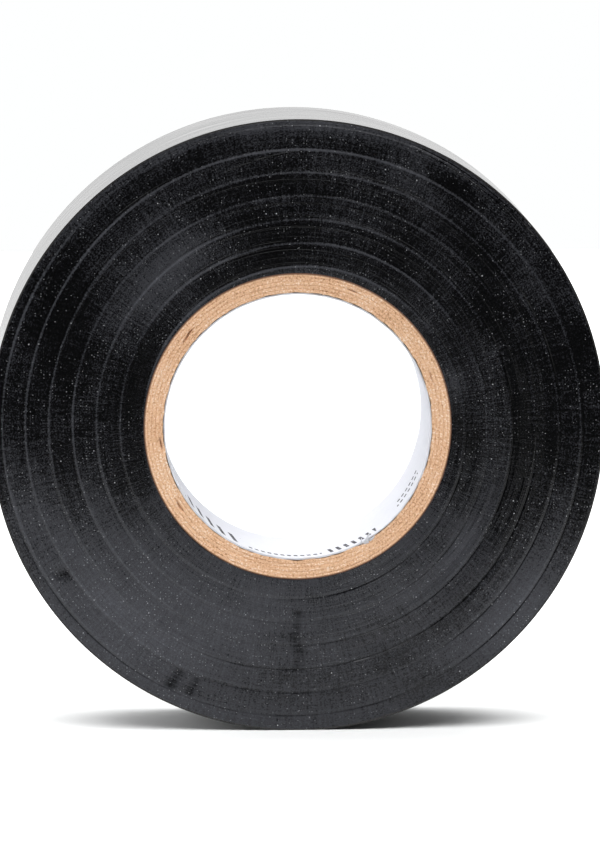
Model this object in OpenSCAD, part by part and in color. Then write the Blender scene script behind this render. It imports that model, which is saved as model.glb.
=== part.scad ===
// Roll of PVC electrical tape standing on its edge.
// The roll's axis lies along Y, its front face looks towards -Y, and the origin is the bore's centre.
// Angles are measured anticlockwise from +X, as seen from the front.
// One strip is wound inwards from its tip, so every layer of it follows a spiral of one tape thickness a turn.

/* [Roll] */
// Outside diameter of the full roll, over the strip's tip
roll_d = 74.4; // [66:0.1:90]
// Width of the tape and length of the core
tape_w = 19; // [12:0.5:50]
// Width of the flat that the roll's weight presses into its last turn, where it stands
rest_flat = 4; // [2:0.5:5]

/* [Core] */
// Diameter of the open bore, inside the liner
bore_d = 32; // [25:0.5:36]
// Outside diameter of the paperboard core
core_d = 37.2; // [36.8:0.1:44]
// Thickness of the printed paper liner
liner_t = 0.2; // [0.1:0.05:0.4]

/* [Tape] */
// Thickness of the PVC backing film
film_t = 0.13; // [0.1:0.01:0.2]
// Thickness of the adhesive coat on the film's inner side
adhesive_t = 0.048; // [0.03:0.001:0.08]
// Height of the step at each feed mark that the slitting knife leaves on the cut faces
feed_step = 0.08; // [0:0.01:0.2]

/* [Free end] */
// Angle where the strip's tip lies
tip_angle = 5; // [0:1:20]
// Angle that the loose tail covers, from its peel line to its tip
tail_sweep = 60; // [40:5:80]
// Gap between the lifted tail and the turn under it
tail_gap = 0.1; // [0.06:0.01:0.2]

/* [Colours] */
// Colour of the backing film
film_colour = "#18181a";
// Colour of the adhesive coat
adhesive_colour = "#26221e";
// Colour of the chipboard
board_colour = "#cfa47a";
// Colour of the printed paper
paper_colour = "#f2f2f0";

/* [Hidden] */
$fn = 180;

// Chipboard plies in the core's wall, one node each
plies = 5;
// Rings that the feed marks divide the winding into, one node each; the outermost is half a feed wide
rings = 7;
// Short lengths that the tail bends in, one film node and one adhesive node each
tail_lengths = 5;

tape_t = film_t + adhesive_t;
half_w = tape_w / 2;
tip_r = roll_d / 2;
core_r = core_d / 2;
ply_inner_r = bore_d / 2 + liner_t;
ply_t = (core_r - ply_inner_r) / plies;
feed = (tip_r - tape_t - core_r) / (rings - 0.5);

// The spiral starts a little before the tip, where the turn under the tail comes to the surface
seam_angle = tip_angle - 1;
peel_angle = tip_angle + tail_sweep;
length_sweep = tail_sweep / tail_lengths;

// Depth of each layer boundary under the strip's outer surface
film_top = 0;
film_bottom = film_t;
coat_bottom = tape_t;

// Height of the flat that the roll stands on: the chord of the strip's lower arc
rest_z = -sqrt(pow(tip_r - 3 / 4 * tape_t, 2) - pow(rest_flat / 2, 2));

// Lengths that reach past the roll, for cutting
spare = 5;
reach = roll_d;

// Outer radius of ring k, where the spiral feed mark is at its mean
function ring_r(k) = core_r + feed * k;

// Turns a shape drawn about Z upright, with its +Z end facing the front
module stand() {
    rotate([90, 0, 0])
        children();
}

// A plain tube, as wide as the tape
module tube(inner_r, outer_r) {
    stand()
        rotate_extrude()
            translate([inner_r, -half_w])
                square([outer_r - inner_r, tape_w]);
}

// Half of the space around the axis: side 0 runs anticlockwise from the seam, side 1 is the rest
module half_space(side) {
    rotate([0, 0, seam_angle + 180 * side])
        translate([-reach, 0, -reach])
            cube([2 * reach, reach, 2 * reach]);
}

// A disc whose edge is a spiral: it starts at the seam and drops one tape thickness in a turn.
// Each half turn is an arc of its own, and the two centres lie on the line between the halves.
module spiral_disc(start_r, half_length) {
    for (side = [0, 1])
        intersection() {
            half_space(side);
            rotate([0, 0, seam_angle])
                translate([(1 - 2 * side) * tape_t / 4, 0, -half_length])
                    cylinder(r = start_r - (1 + 2 * side) * tape_t / 4, h = 2 * half_length);
        }
}

// The spiral layer of one turn between two depths under the strip's outer surface
module spiral_layer(top, bottom, lift) {
    difference() {
        spiral_disc(tip_r + lift - top, half_w);
        spiral_disc(tip_r + lift - bottom, half_w + spare);
    }
}

// A wedge around the axis that starts at one angle and covers a sweep of at most 180 degrees
module wedge(start, sweep) {
    rotate([0, 0, start])
        translate([0, 0, -reach])
            rotate_extrude(angle = sweep)
                square([reach, 2 * reach]);
}

// A ring of the wound strip: each cut face is slightly conical, from one feed mark to the next
module ring_body(inner_r, outer_r) {
    rotate_extrude()
        polygon([
            [inner_r, -half_w - feed_step / 2],
            [outer_r, -half_w + feed_step / 2],
            [outer_r, half_w + feed_step / 2],
            [inner_r, half_w - feed_step / 2]
        ]);
}

module core_liner() {
    color(paper_colour)
        tube(bore_d / 2, ply_inner_r);
}

module core_ply(k) {
    color(board_colour)
        tube(ply_inner_r + (k - 1) * ply_t, ply_inner_r + k * ply_t);
}

module winding(k) {
    color(film_colour)
        stand()
            if (k == rings)
                intersection() {
                    ring_body(ring_r(k - 1), tip_r);
                    spiral_disc(tip_r - tape_t, half_w + spare);
                }
            else
                ring_body(ring_r(k - 1), ring_r(k));
}

// Everything below the flat that the roll stands on
module floor_cut() {
    translate([-reach, rest_z - reach, -reach])
        cube([2 * reach, reach, 2 * reach]);
}

// The last turn of the strip, from the peel line round to the place where it passes under the tip
module outer_turn(top, bottom) {
    stand()
        difference() {
            spiral_layer(top, bottom, 0);
            wedge(seam_angle, peel_angle - seam_angle);
            floor_cut();
        }
}

module outer_turn_film() {
    color(film_colour)
        outer_turn(film_top, film_bottom);
}

module outer_turn_adhesive() {
    color(adhesive_colour)
        outer_turn(film_bottom, coat_bottom);
}

// One short length of the loose tail, counted from the peel line to the tip
module tail_length(k, top, bottom) {
    stand()
        intersection() {
            spiral_layer(top, bottom, tail_gap);
            wedge(peel_angle - k * length_sweep, length_sweep);
        }
}

module tail_film(k) {
    color(film_colour)
        tail_length(k, film_top, film_bottom);
}

module tail_adhesive(k) {
    color(adhesive_colour)
        tail_length(k, film_bottom, coat_bottom);
}

core_liner();
core_ply(1);  // core_ply_1
core_ply(2);  // core_ply_2
core_ply(3);  // core_ply_3
core_ply(4);  // core_ply_4
core_ply(5);  // core_ply_5
winding(1);  // winding_1
winding(2);  // winding_2
winding(3);  // winding_3
winding(4);  // winding_4
winding(5);  // winding_5
winding(6);  // winding_6
winding(7);  // winding_7
outer_turn_film();
outer_turn_adhesive();
tail_film(1);  // tail_film_1
tail_film(2);  // tail_film_2
tail_film(3);  // tail_film_3
tail_film(4);  // tail_film_4
tail_film(5);  // tail_film_5
tail_adhesive(1);  // tail_adhesive_1
tail_adhesive(2);  // tail_adhesive_2
tail_adhesive(3);  // tail_adhesive_3
tail_adhesive(4);  // tail_adhesive_4
tail_adhesive(5);  // tail_adhesive_5
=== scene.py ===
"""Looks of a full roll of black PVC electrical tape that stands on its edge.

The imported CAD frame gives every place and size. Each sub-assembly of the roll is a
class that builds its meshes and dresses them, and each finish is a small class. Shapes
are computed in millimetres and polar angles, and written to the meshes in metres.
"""

import sys

import logging
import math
from dataclasses import dataclass, field
from enum import Enum

import bmesh
import bpy
import numpy as np
from mathutils import Matrix, Vector


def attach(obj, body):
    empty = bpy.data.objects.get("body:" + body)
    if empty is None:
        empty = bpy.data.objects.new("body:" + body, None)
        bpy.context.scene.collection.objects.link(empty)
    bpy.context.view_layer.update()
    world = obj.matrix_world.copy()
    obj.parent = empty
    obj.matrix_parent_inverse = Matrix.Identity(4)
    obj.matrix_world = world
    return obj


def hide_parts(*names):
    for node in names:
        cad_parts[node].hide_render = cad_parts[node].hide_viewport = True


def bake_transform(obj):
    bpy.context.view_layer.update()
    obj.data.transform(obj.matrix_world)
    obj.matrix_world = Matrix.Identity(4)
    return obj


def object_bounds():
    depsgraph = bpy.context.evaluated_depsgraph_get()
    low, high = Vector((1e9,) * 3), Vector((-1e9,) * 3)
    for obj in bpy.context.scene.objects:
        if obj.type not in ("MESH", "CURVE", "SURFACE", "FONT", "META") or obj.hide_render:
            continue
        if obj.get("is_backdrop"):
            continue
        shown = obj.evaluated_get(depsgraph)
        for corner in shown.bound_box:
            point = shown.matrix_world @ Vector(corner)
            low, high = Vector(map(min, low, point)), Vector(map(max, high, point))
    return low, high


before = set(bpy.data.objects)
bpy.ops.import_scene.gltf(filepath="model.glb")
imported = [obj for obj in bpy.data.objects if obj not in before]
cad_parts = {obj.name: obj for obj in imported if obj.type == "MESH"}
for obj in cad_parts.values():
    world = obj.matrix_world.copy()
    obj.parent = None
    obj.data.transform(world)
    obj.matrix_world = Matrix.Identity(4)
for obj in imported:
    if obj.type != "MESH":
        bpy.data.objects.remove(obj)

LOG = logging.getLogger("tape_roll")
MM = 0.001
FULL_TURN = 2 * math.pi
# A spin is made of fewer steps, each of which is then divided, because that is quicker
SPIN_SHARE = 4
# Typical index of refraction of plasticised PVC
VINYL_IOR = 1.53

# Settings that many nodes share
TIMES = {"operation": "MULTIPLY"}
TIMES_PLUS = {"operation": "MULTIPLY_ADD"}
DIVIDED = {"operation": "DIVIDE"}
MINUS = {"operation": "SUBTRACT"}
BELOW = {"operation": "LESS_THAN"}
FRACTION = {"operation": "FRACT"}
UNSIGNED = {"operation": "ABSOLUTE"}
LARGER = {"operation": "MAXIMUM"}
COLOURS = {"data_type": "RGBA"}
SMOOTH_STEP = {"interpolation_type": "SMOOTHSTEP"}


class Face(Enum):
    """The two cut faces of the roll, by the sign of the side of Y that they are on."""

    FRONT = -1
    REAR = 1


class Slot(Enum):
    """The record's material slots."""

    EDGE = "tape_edge"
    FILM = "tape_film"
    ADHESIVE = "tape_adhesive"
    BOARD = "chipboard"
    PAPER = "printed_paper"


@dataclass(frozen=True)
class RollSizes:
    """Sizes that the sub-assemblies share, in millimetres and degrees, as in the CAD."""

    half_width: float = 9.5
    bore_radius: float = 16.0
    core_radius: float = 18.6
    tip_radius: float = 37.2
    liner: float = 0.2
    film: float = 0.13
    adhesive: float = 0.048
    feed_step: float = 0.08
    rest_flat: float = 4.0
    rings: int = 7
    plies: int = 5
    tail_lengths: int = 5
    tip_angle: float = 5.0
    tail_sweep: float = 60.0
    tail_gap: float = 0.1

    @property
    def tape(self) -> float:
        """Thickness of the strip, film and adhesive together."""
        return self.film + self.adhesive

    @property
    def feed(self) -> float:
        """Radial distance between neighbouring feed marks."""
        return (self.tip_radius - self.tape - self.core_radius) / (self.rings - 0.5)

    @property
    def seam_angle(self) -> float:
        """Angle where the last turn passes under the tip."""
        return self.tip_angle - 1

    @property
    def peel_angle(self) -> float:
        """Angle where the loose tail leaves the roll."""
        return self.tip_angle + self.tail_sweep

    @property
    def rest_height(self) -> float:
        """Height of the flat that the roll stands on, below the axis."""
        reach = self.tip_radius - 0.75 * self.tape
        return -math.sqrt(reach**2 - (self.rest_flat / 2) ** 2)

    def spiral(self, angle: np.ndarray, start: float) -> np.ndarray:
        """Radius of a layer boundary of the last turn.

        Args:
            angle: angles from the seam, in degrees from 0 to 360.
            start: the boundary's radius at the seam, in millimetres.

        Returns:
            The radii: they fall by one tape thickness in a turn, in two arcs.
        """
        step = self.tape / 4
        cosine = np.cos(np.radians(angle))
        return np.where(
            angle <= 180, start - step * (1 - cosine), start - 3 * step - step * cosine
        )


SIZES = RollSizes()


# ---------------------------------------------------------------------------
# Small helpers
# ---------------------------------------------------------------------------


def linear(code: str) -> tuple[float, float, float, float]:
    """Turns an sRGB colour into Blender's linear one.

    Args:
        code: the colour as "#rrggbb".

    Returns:
        Linear red, green and blue, and an alpha of 1.
    """
    parts = [int(code[i : i + 2], 16) / 255 for i in (1, 3, 5)]
    red, green, blue = (
        c / 12.92 if c <= 0.04045 else ((c + 0.055) / 1.055) ** 2.4 for c in parts
    )
    return (red, green, blue, 1.0)


def add(
    tree: bpy.types.NodeTree,
    kind: str,
    settings: dict | None = None,
    inputs: dict | None = None,
) -> bpy.types.Node:
    """Adds a shader node with its settings and its inputs.

    Args:
        tree: the node tree.
        kind: the node's type, such as "ShaderNodeMath".
        settings: properties of the node, by name.
        inputs: sockets by name or number, each with a number or colour, or with the
            socket that feeds it.

    Returns:
        The new node.
    """
    node = tree.nodes.new(kind)
    for name, value in (settings or {}).items():
        setattr(node, name, value)
    for key, value in (inputs or {}).items():
        if isinstance(value, bpy.types.NodeSocket):
            tree.links.new(value, node.inputs[key])
        else:
            node.inputs[key].default_value = value
    return node


def weighted_sum(
    tree: bpy.types.NodeTree,
    start: bpy.types.NodeSocket | float,
    *weighted: tuple[bpy.types.NodeSocket, bpy.types.NodeSocket | float],
) -> bpy.types.NodeSocket:
    """Adds patterns to a value, each times its weight.

    Args:
        tree: the node tree.
        start: the value that they are added to.
        *weighted: each pattern with its weight, which may be a socket too.

    Returns:
        The socket of the sum.
    """
    total = start
    for pattern, weight in weighted:
        inputs = {0: pattern, 1: weight, 2: total}
        total = add(tree, "ShaderNodeMath", TIMES_PLUS, inputs).outputs[0]
    return total


def smooth_ramp(values: np.ndarray, low: float, high: float) -> np.ndarray:
    """A smooth rise from 0 at low to 1 at high, which may be the lower of the two."""
    share = np.clip((values - low) / (high - low), 0, 1)
    return share * share * (3 - 2 * share)


def angle_between(angles: np.ndarray, centre: float) -> np.ndarray:
    """Signed difference in degrees from a centre angle, from -180 to 180."""
    return (angles - centre + 180) % 360 - 180


@dataclass(frozen=True)
class Ripple:
    """A smooth random field over a cut face, which closes on itself round the axis.

    It is a sum of waves with a whole number of periods in a turn.
    """

    seed: int
    waves: int = 12
    periods: int = 8
    radial: float = 1.0

    def at(self, radius: np.ndarray, angle: np.ndarray) -> np.ndarray:
        """Values of about -1 to 1.

        Args:
            radius: radii in millimetres.
            angle: angles in degrees.

        Returns:
            One value for each pair.
        """
        random = np.random.default_rng(self.seed)
        total = np.zeros(np.broadcast(radius, angle).shape)
        for _ in range(self.waves):
            around = int(random.integers(0, self.periods + 1))
            outward = random.normal() * self.radial
            start = random.uniform(0, FULL_TURN)
            total = total + np.cos(
                around * np.radians(angle) + outward * radius + start
            )
        return total / math.sqrt(self.waves)


def new_mesh_piece(
    name: str, builder: bmesh.types.BMesh, material: bpy.types.Material
) -> bpy.types.Object:
    """Turns a bmesh in millimetres into an object in metres, with smooth faces.

    Args:
        name: the piece's name.
        builder: the finished bmesh, which is freed.
        material: the piece's material.

    Returns:
        The object, linked to the scene.
    """
    bmesh.ops.scale(builder, vec=(MM, MM, MM), verts=builder.verts[:])
    mesh = bpy.data.meshes.new(name)
    builder.to_mesh(mesh)
    builder.free()
    mesh.materials.append(material)
    mesh.polygons.foreach_set("use_smooth", np.ones(len(mesh.polygons), bool))
    piece = bpy.data.objects.new(name, mesh)
    bpy.context.scene.collection.objects.link(piece)
    return piece


@dataclass
class Polar:
    """A mesh's vertices in polar coordinates about the axis, to be moved and put back.

    Attributes:
        piece: the object.
        radius: distances from the axis in millimetres.
        angle: angles in degrees from 0 to 360, from +X towards +Z.
        along: places along +Y in millimetres.
    """

    piece: bpy.types.Object
    radius: np.ndarray = field(init=False)
    angle: np.ndarray = field(init=False)
    along: np.ndarray = field(init=False)

    def __post_init__(self) -> None:
        """Reads the vertices."""
        vertices = self.piece.data.vertices
        places = np.empty(len(vertices) * 3)
        vertices.foreach_get("co", places)
        x, y, z = places.reshape(-1, 3).T / MM
        self.radius = np.hypot(x, z)
        self.angle = np.degrees(np.arctan2(z, x)) % 360
        self.along = y.copy()

    def put_back(self, lowest: float | None = None) -> None:
        """Writes the vertices.

        Args:
            lowest: a height in millimetres that no vertex goes below.
        """
        turn = np.radians(self.angle)
        x, z = self.radius * np.cos(turn), self.radius * np.sin(turn)
        if lowest is not None:
            z = np.maximum(z, lowest)
        places = np.stack([x, self.along, z], axis=1) * MM
        mesh = self.piece.data
        mesh.vertices.foreach_set("co", places.astype(np.float32).ravel())
        mesh.update()

    def write(self, name: str, values: np.ndarray) -> None:
        """Stores one number for each vertex, for the material to read."""
        layer = self.piece.data.attributes.new(name, "FLOAT", "POINT")
        layer.data.foreach_set("value", values.astype(np.float32))


def same_place_on_section(edge: bmesh.types.BMEdge) -> bool:
    """Whether an edge of a spun tube runs round the axis."""
    first, second = (vertex.co for vertex in edge.verts)
    outward = math.hypot(first.x, first.z) - math.hypot(second.x, second.z)
    return abs(first.y - second.y) < 0.01 and abs(outward) < 0.01


def spun_tube(
    inner: float, outer: float, half_width: float, cuts: int, steps: int
) -> bmesh.types.BMesh:
    """A closed tube about Y, from a rectangle that is spun a full turn.

    Args:
        inner: inner radius in millimetres.
        outer: outer radius in millimetres.
        half_width: half the tube's length in millimetres.
        cuts: how many times the two end faces are divided between their edges.
        steps: how many steps the spin has.

    Returns:
        The bmesh, in millimetres.
    """
    builder = bmesh.new()
    corners = [
        builder.verts.new((radius, along, 0))
        for radius, along in (
            (inner, -half_width),
            (outer, -half_width),
            (outer, half_width),
            (inner, half_width),
        )
    ]
    sides = [builder.edges.new((corners[i], corners[(i + 1) % 4])) for i in range(4)]
    bmesh.ops.subdivide_edges(builder, edges=[sides[0], sides[2]], cuts=cuts)
    bmesh.ops.spin(
        builder,
        geom=builder.verts[:] + builder.edges[:],
        cent=(0, 0, 0),
        axis=(0, 1, 0),
        angle=FULL_TURN,
        steps=steps // SPIN_SHARE,
        use_merge=True,
    )
    around = [e for e in builder.edges if same_place_on_section(e)]
    bmesh.ops.subdivide_edges(
        builder, edges=around, cuts=SPIN_SHARE - 1, use_grid_fill=True
    )
    bmesh.ops.recalc_face_normals(builder, faces=builder.faces[:])
    return builder


# ---------------------------------------------------------------------------
# Finishes
# ---------------------------------------------------------------------------


@dataclass(frozen=True)
class Finish:
    """What every finish shares: a name and the way to start its material."""

    name: str

    def start(
        self,
    ) -> tuple[bpy.types.Material, bpy.types.NodeTree, bpy.types.Node]:
        """Makes an empty material.

        Returns:
            The material, its node tree and its Principled shader.
        """
        material = bpy.data.materials.new(self.name)
        material.use_nodes = True
        tree = material.node_tree
        tree.nodes.clear()
        shader = add(tree, "ShaderNodeBsdfPrincipled")
        add(tree, "ShaderNodeOutputMaterial", inputs={"Surface": shader.outputs[0]})
        return material, tree, shader

    def polar(
        self, tree: bpy.types.NodeTree
    ) -> tuple[bpy.types.NodeSocket, bpy.types.NodeSocket, bpy.types.NodeSocket]:
        """Adds the roll's polar coordinates, from the Object coordinates.

        Returns:
            Sockets of the radius in millimetres, and of the cosine and sine of the angle.
        """
        place = add(tree, "ShaderNodeTexCoord").outputs["Object"]
        parts = add(tree, "ShaderNodeSeparateXYZ", inputs={0: place}).outputs
        squares = weighted_sum(
            tree, 0.0, (parts["X"], parts["X"]), (parts["Z"], parts["Z"])
        )
        root = add(tree, "ShaderNodeMath", {"operation": "SQRT"}, {0: squares})
        metres = root.outputs[0]
        radius, cosine, sine = (
            add(tree, "ShaderNodeMath", DIVIDED, {0: above, 1: below}).outputs[0]
            for above, below in ((metres, MM), (parts["X"], metres), (parts["Z"], metres))
        )
        return radius, cosine, sine

    def polar_noise(
        self,
        tree: bpy.types.NodeTree,
        polar: tuple[bpy.types.NodeSocket, ...],
        around: float,
        outward: float,
        detail: float = 2.0,
        offset: float = 0.0,
    ) -> bpy.types.NodeSocket:
        """Noise that follows the turns.

        Args:
            tree: the node tree.
            polar: radius, cosine and sine sockets.
            around: how many noise cells a radian holds.
            outward: how many noise cells a millimetre of radius holds.
            detail: octaves of noise.
            offset: moves the radial coordinate, so that two noises differ.

        Returns:
            The socket of the noise, from 0 to 1.
        """
        radius, cosine, sine = polar
        cells = [
            weighted_sum(tree, start, (place, scale))
            for place, scale, start in (
                (cosine, around, 0.0),
                (sine, around, 0.0),
                (radius, outward, offset),
            )
        ]
        vector = add(tree, "ShaderNodeCombineXYZ", inputs=dict(enumerate(cells)))
        return add(
            tree,
            "ShaderNodeTexNoise",
            inputs={"Vector": vector.outputs[0], "Scale": 1.0, "Detail": detail},
        ).outputs[0]


@dataclass(frozen=True)
class SlitEdge(Finish):
    """Plasticised PVC film in its wound pack, cut across by a slitting knife.

    The knife leaves fine hatching across the turns, each turn shows as a thin line, and
    the edges are satin with polished and dusty patches. Paler and darker colour also
    paints the face's sheen, reflections and highlights, and near black paints the shade in
    its gaps and creases.
    """

    name: str = "slit_pvc_edge"
    # Grey of dull vinyl, which also paints sheen and reflections on the face's paler parts
    worked_sheen_grey: str = "#3b3c41"
    polished: str = "#020203"
    dust: str = "#c6c8cc"
    # Black that paints the shade in gaps and creases
    gap_shade: str = "#020202"
    # Distance between knife marks, as coarse as they need to show; real ones are finer
    hatch: float = 0.26
    # Distance between the lines that stand out among the turns
    line: float = 0.24
    # Size of the torn grain of the vinyl, drawn twice as coarse as it is
    grain: float = 0.17
    # Size of the cloudy areas that the knife left a little duller
    cloud: float = 4.5
    # Radius where the marks round the axis have the sizes above
    mean_radius: float = 28.0
    # How deep hatch, turns and grain are cut, in millimetres
    relief: float = 0.018

    def material(self) -> bpy.types.Material:
        """Makes the material."""
        material, tree, shader = self.start()
        polar = self.polar(tree)
        hatch = self.polar_noise(tree, polar, self.mean_radius / self.hatch, 0.5, 1.0)
        lines = self.polar_noise(tree, polar, 2.6, 1 / self.line, 2.0, 40.0)
        grain = self.polar_noise(
            tree, polar, self.mean_radius / self.grain, 1 / self.grain, 2.0, 90.0
        )
        cloud = self.polar_noise(tree, polar, 5.0, 1 / self.cloud, 2.0, 12.0)
        # Smoothness with painted sheen in it, and the shade painted in gaps and creases
        rub_and_sheen, gap_shade = (
            add(tree, "ShaderNodeAttribute", {"attribute_name": name}).outputs["Fac"]
            for name in ("rub_and_sheen", "gap_shade")
        )

        tone = weighted_sum(
            tree, rub_and_sheen, (lines, 0.5), (hatch, 0.6), (grain, 1.5), (cloud, 0.5)
        )
        # Each noise has a mean of a half, and this takes their means away again
        tone = add(tree, "ShaderNodeMath", MINUS, {0: tone, 1: 1.53}).outputs[0]
        tone = add(
            tree, "ShaderNodeClamp", inputs={0: tone, 1: -0.6, 2: 1.0}
        ).outputs[0]
        # Unclamped, so that a tone below 0 is paler than the dull grey; the mix from near
        # black to grey paints the face's sheen, reflections and highlights as well as its
        # finish
        colour = add(
            tree,
            "ShaderNodeMix",
            COLOURS | {"clamp_factor": False},
            {0: tone, 6: linear(self.worked_sheen_grey), 7: linear(self.polished)},
        ).outputs[2]
        # Painted shade: gaps and creases are coloured black and given no gloss, which a
        # metal of that colour gives, to stand for the shade in them; the turns that cross
        # them break it up
        crossed = add(
            tree,
            "ShaderNodeMapRange",
            inputs={0: lines, 1: 0.35, 2: 0.6, 3: 0.45, 4: 1.0},
        ).outputs[0]
        gap_shade_share = add(tree, "ShaderNodeMath", TIMES, {0: gap_shade, 1: crossed}).outputs[0]
        tree.links.new(gap_shade_share, shader.inputs["Metallic"])
        specks = self.specks(tree, rub_and_sheen)
        for share, code in ((gap_shade_share, self.gap_shade), (specks, self.dust)):
            colour = add(
                tree, "ShaderNodeMix", COLOURS, {0: share, 6: colour, 7: linear(code)}
            ).outputs[2]
        tree.links.new(colour, shader.inputs["Base Color"])

        roughness = add(
            tree,
            "ShaderNodeMapRange",
            inputs={0: tone, 1: 0.0, 2: 1.0, 3: 0.45, 4: 0.16},
        ).outputs[0]
        tree.links.new(roughness, shader.inputs["Roughness"])

        height = weighted_sum(tree, hatch, (lines, 0.55), (grain, 1.0), (specks, 1.0))
        bump = add(
            tree,
            "ShaderNodeBump",
            inputs={"Strength": 1.0, "Distance": self.relief * MM, "Height": height},
        )
        tree.links.new(bump.outputs[0], shader.inputs["Normal"])
        shader.inputs["IOR"].default_value = VINYL_IOR
        # The edge is rough below what a shader's lobe shows, so it returns less gloss
        shader.inputs["Specular IOR Level"].default_value = 0.24
        return material

    def specks(
        self, tree: bpy.types.NodeTree, rub_and_sheen: bpy.types.NodeSocket
    ) -> bpy.types.NodeSocket:
        """Lint and dust that the soft edge holds, in drifts.

        Args:
            tree: the node tree.
            rub_and_sheen: how smooth the edge is; dust holds where it is dull.

        Returns:
            The socket that is up to 1 on a speck and 0 elsewhere.
        """
        place = add(tree, "ShaderNodeTexCoord").outputs["Object"]
        parts = add(tree, "ShaderNodeSeparateXYZ", inputs={0: place}).outputs
        flat = add(
            tree, "ShaderNodeCombineXYZ", inputs={0: parts["X"], 1: parts["Z"]}
        ).outputs[0]
        drifts = add(
            tree,
            "ShaderNodeTexNoise",
            inputs={"Vector": flat, "Scale": 1 / (7 * MM), "Detail": 3.0},
        ).outputs[0]
        drifts = weighted_sum(tree, drifts, (rub_and_sheen, -0.12))
        # Fine dust, then lint: cell in millimetres, share of cells that hold a speck,
        # smallest radius and its spread in cells, and brightness
        layers = []
        for cell, share, smallest, spread, bright in (
            (0.34, 0.24, 0.07, 0.14, 0.36),
            (1.3, 0.2, 0.022, 0.035, 0.9),
        ):
            cells = add(
                tree,
                "ShaderNodeTexVoronoi",
                {"voronoi_dimensions": "2D"},
                {"Vector": flat, "Scale": 1 / (cell * MM), "Randomness": 1.0},
            )
            random = add(
                tree, "ShaderNodeSeparateColor", inputs={0: cells.outputs["Color"]}
            ).outputs
            chance = add(tree, "ShaderNodeMath", MINUS, {0: drifts, 1: 0.5 - share})
            present = add(
                tree, "ShaderNodeMath", BELOW, {0: random[0], 1: chance.outputs[0]}
            ).outputs[0]
            size = weighted_sum(tree, smallest, (random[1], spread))
            # Where a speck's soft edge starts and ends
            limits = {
                socket: weighted_sum(tree, 0.0, (size, reach))
                for socket, reach in ((1, 1.4), (2, 0.4))
            }
            speck = add(
                tree,
                "ShaderNodeMapRange",
                SMOOTH_STEP,
                {0: cells.outputs["Distance"], **limits, 3: 0.0, 4: 1.0},
            ).outputs[0]
            strength = weighted_sum(tree, 0.2 * bright, (random[2], 0.8 * bright))
            for factor in (present, strength):
                inputs = {0: speck, 1: factor}
                speck = add(tree, "ShaderNodeMath", TIMES, inputs).outputs[0]
            layers.append(speck)
        return add(tree, "ShaderNodeMath", LARGER, dict(enumerate(layers))).outputs[0]


@dataclass(frozen=True)
class CalenderedFilm(Finish):
    """The outer side of the backing: calendered, plasticised PVC film.

    It is glossy and black, with faint streaks along the strip from the rollers.
    """

    name: str = "calendered_pvc_film"
    colour: str = "#161618"
    # Distance between streaks across the strip, and their length along it
    streak_wide: float = 0.4
    streak_long: float = 50 / 3
    # Size of the faint pebbling from the rollers
    pebble: float = 0.5
    relief: float = 0.004

    def material(self) -> bpy.types.Material:
        """Makes the material."""
        material, tree, shader = self.start()
        shader.inputs["Base Color"].default_value = linear(self.colour)
        place = add(tree, "ShaderNodeTexCoord").outputs["Object"]
        parts = add(tree, "ShaderNodeSeparateXYZ", inputs={0: place}).outputs
        sizes = (self.streak_long, self.streak_wide, self.streak_long)
        cells = [
            add(tree, "ShaderNodeMath", DIVIDED, {0: part, 1: size * MM}).outputs[0]
            for part, size in zip(parts, sizes)
        ]
        stretched = add(tree, "ShaderNodeCombineXYZ", inputs=dict(enumerate(cells)))
        streaks, pebble = (
            add(
                tree,
                "ShaderNodeTexNoise",
                inputs={"Vector": vector, "Scale": scale, "Detail": 3.0},
            ).outputs[0]
            for vector, scale in (
                (stretched.outputs[0], 1.0),
                (place, 1 / (self.pebble * MM)),
            )
        )
        height = weighted_sum(tree, streaks, (pebble, 0.6))
        bump = add(
            tree,
            "ShaderNodeBump",
            inputs={"Strength": 1.0, "Distance": self.relief * MM, "Height": height},
        )
        roughness = add(
            tree,
            "ShaderNodeMapRange",
            inputs={0: streaks, 1: 0.35, 2: 0.65, 3: 0.17, 4: 0.31},
        ).outputs[0]
        tree.links.new(roughness, shader.inputs["Roughness"])
        tree.links.new(bump.outputs[0], shader.inputs["Normal"])
        shader.inputs["IOR"].default_value = VINYL_IOR
        return material


@dataclass(frozen=True)
class TapeAdhesive(Finish):
    """Rubber-resin adhesive on the film's inner side: dark, tacky and slightly pitted."""

    name: str = "rubber_resin_adhesive"
    colour: str = "#1f1c19"
    pitted: str = "#2c2823"
    # Distance between the pits that unwinding leaves, and their depth
    pit: float = 0.7
    relief: float = 0.02

    def material(self) -> bpy.types.Material:
        """Makes the material."""
        material, tree, shader = self.start()
        place = add(tree, "ShaderNodeTexCoord").outputs["Object"]
        pits = add(
            tree,
            "ShaderNodeTexNoise",
            inputs={"Vector": place, "Scale": 1 / (self.pit * MM), "Detail": 3.0},
        ).outputs[0]
        colour = add(
            tree,
            "ShaderNodeMix",
            COLOURS,
            {0: pits, 6: linear(self.colour), 7: linear(self.pitted)},
        ).outputs[2]
        bump = add(
            tree,
            "ShaderNodeBump",
            inputs={"Strength": 1.0, "Distance": self.relief * MM, "Height": pits},
        )
        roughness = add(
            tree, "ShaderNodeMapRange", inputs={0: pits, 3: 0.3, 4: 0.6}
        ).outputs[0]
        tree.links.new(colour, shader.inputs["Base Color"])
        tree.links.new(roughness, shader.inputs["Roughness"])
        tree.links.new(bump.outputs[0], shader.inputs["Normal"])
        shader.inputs["IOR"].default_value = 1.52
        return material


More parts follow.
